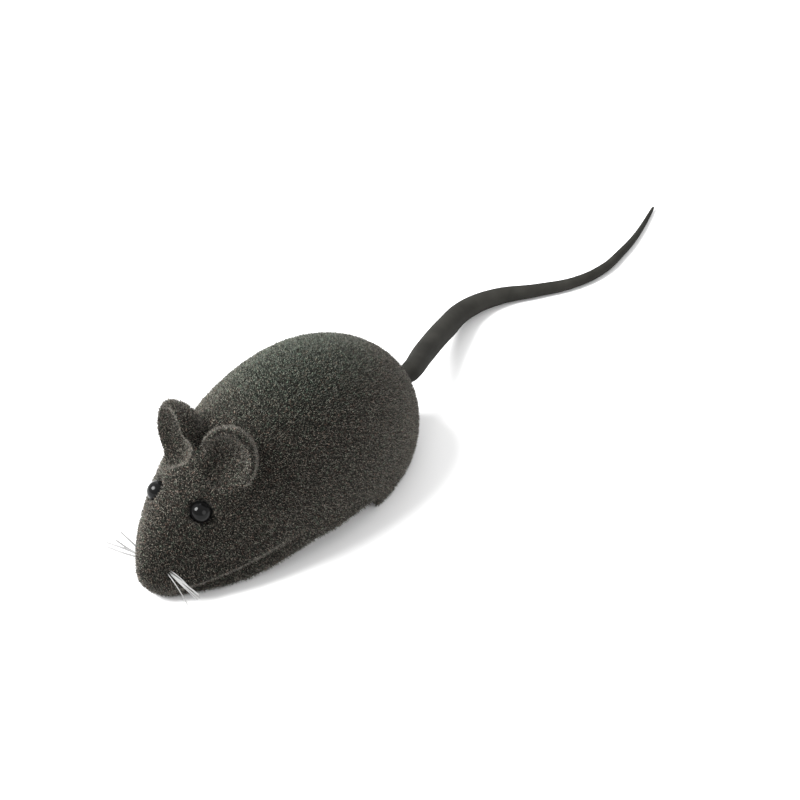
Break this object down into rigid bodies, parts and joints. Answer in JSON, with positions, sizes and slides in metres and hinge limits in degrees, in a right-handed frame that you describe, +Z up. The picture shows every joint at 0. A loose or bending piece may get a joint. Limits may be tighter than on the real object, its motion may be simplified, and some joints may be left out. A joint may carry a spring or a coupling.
{
  "type": "clockwork mouse",
  "caption": "Flocked mouse-shaped wind-up toy with round ears, bead eyes, whiskers and a trailing tail, over a spring-driven wheeled chassis wound by a side key.",
  "frame": {"origin": "on the floor under the middle of the toy's outline, tail and key included", "axes": "+X ahead, towards the snout; +Y to the mouse's left; +Z up"},
  "size_m": [0.1596, 0.0356, 0.0292],
  "materials": {
    "flocked_vinyl": "dark grey short flock, soft, no shine",
    "eye_bead": "polished black",
    "whisker_nylon": "translucent monofilament",
    "tail_rubber": "satin dark grey-brown, moulded",
    "chassis_plastic": "fine-textured black moulding",
    "plate_steel": "stamped, lightly brushed",
    "screw_steel": "zinc plated",
    "spring_steel": "blued strip",
    "gear_brass": "stamped, satin",
    "tyre_rubber": "moulded tread",
    "key_steel": "nickel plated"
  },
  "bodies": {
    "toy_body": {"body_shell": "flocked_vinyl", "tail": "tail_rubber", "eye_left": "eye_bead", "eye_right": "eye_bead", "whiskers_left": "whisker_nylon", "whiskers_right": "whisker_nylon", "chassis": "chassis_plastic", "chassis_screw_front": "screw_steel", "chassis_screw_rear_left": "screw_steel", "chassis_screw_rear_right": "screw_steel", "motor_plate_left": "plate_steel", "motor_plate_right": "plate_steel", "motor_screw_left": "screw_steel", "motor_screw_right": "screw_steel", "pillar_top": "plate_steel", "pillar_rear": "plate_steel", "pillar_front": "plate_steel", "key_bush": "chassis_plastic", "mainspring": "spring_steel"},
    "great_gear_set": {"great_gear": "gear_brass", "click_pin": "gear_brass", "click_spring": "spring_steel"},
    "click_arm": {"click": "plate_steel"},
    "winding_set": {"winding_arbor": "plate_steel", "ratchet_wheel": "plate_steel", "winding_key": "key_steel"},
    "second_set": {"second_arbor": "plate_steel", "second_pinion": "gear_brass", "second_gear": "gear_brass"},
    "axle_set": {"drive_axle": "plate_steel", "axle_pinion": "gear_brass", "drive_wheel_left": "chassis_plastic", "drive_wheel_right": "chassis_plastic", "tyre_left": "tyre_rubber", "tyre_right": "tyre_rubber"},
    "fork_set": {"front_fork": "plate_steel", "fork_rivet": "gear_brass", "front_axle": "plate_steel"},
    "caster_wheel": {"front_wheel": "chassis_plastic"}
  },
  "joints": [
    {"name": "great_gear_turn", "type": "hinge", "parent": "toy_body", "child": "great_gear_set", "pos_m": [0.0442, 0.0032, 0.0114], "axis": [0, 1, 0], "continuous": true},
    {"name": "second_turn", "type": "hinge", "parent": "toy_body", "child": "second_set", "pos_m": [0.03455, 0.0032, 0.01563], "axis": [0, 1, 0], "continuous": true},
    {"name": "axle_turn", "type": "hinge", "parent": "toy_body", "child": "axle_set", "pos_m": [0.0318, 0.0032, 0.0065], "axis": [0, 1, 0], "continuous": true},
    {"name": "key_wind", "type": "hinge", "parent": "great_gear_set", "child": "winding_set", "pos_m": [0.0442, 0.0032, 0.0114], "axis": [0, -1, 0], "range_deg": [0, 1260], "deforming": ["mainspring"]},
    {"name": "click_lift", "type": "hinge", "parent": "great_gear_set", "child": "click_arm", "pos_m": [0.0427, 0.0032, 0.0055], "axis": [0, 1, 0], "range_deg": [-8, 3], "deforming": ["click_spring"]},
    {"name": "fork_swivel", "type": "hinge", "parent": "toy_body", "child": "fork_set", "pos_m": [0.0653, 0.0032, 0.008], "axis": [0, 0, 1], "range_deg": [-20, 20]},
    {"name": "caster_spin", "type": "hinge", "parent": "fork_set", "child": "caster_wheel", "pos_m": [0.0623, 0.0032, 0.0032], "axis": [0, 1, 0], "continuous": true}
  ],
  "couplings": [
    {"joint": "great_gear_turn", "follows": "axle_turn", "ratio": 0.11161},
    {"joint": "second_turn", "follows": "axle_turn", "ratio": -0.35714}
  ]
}
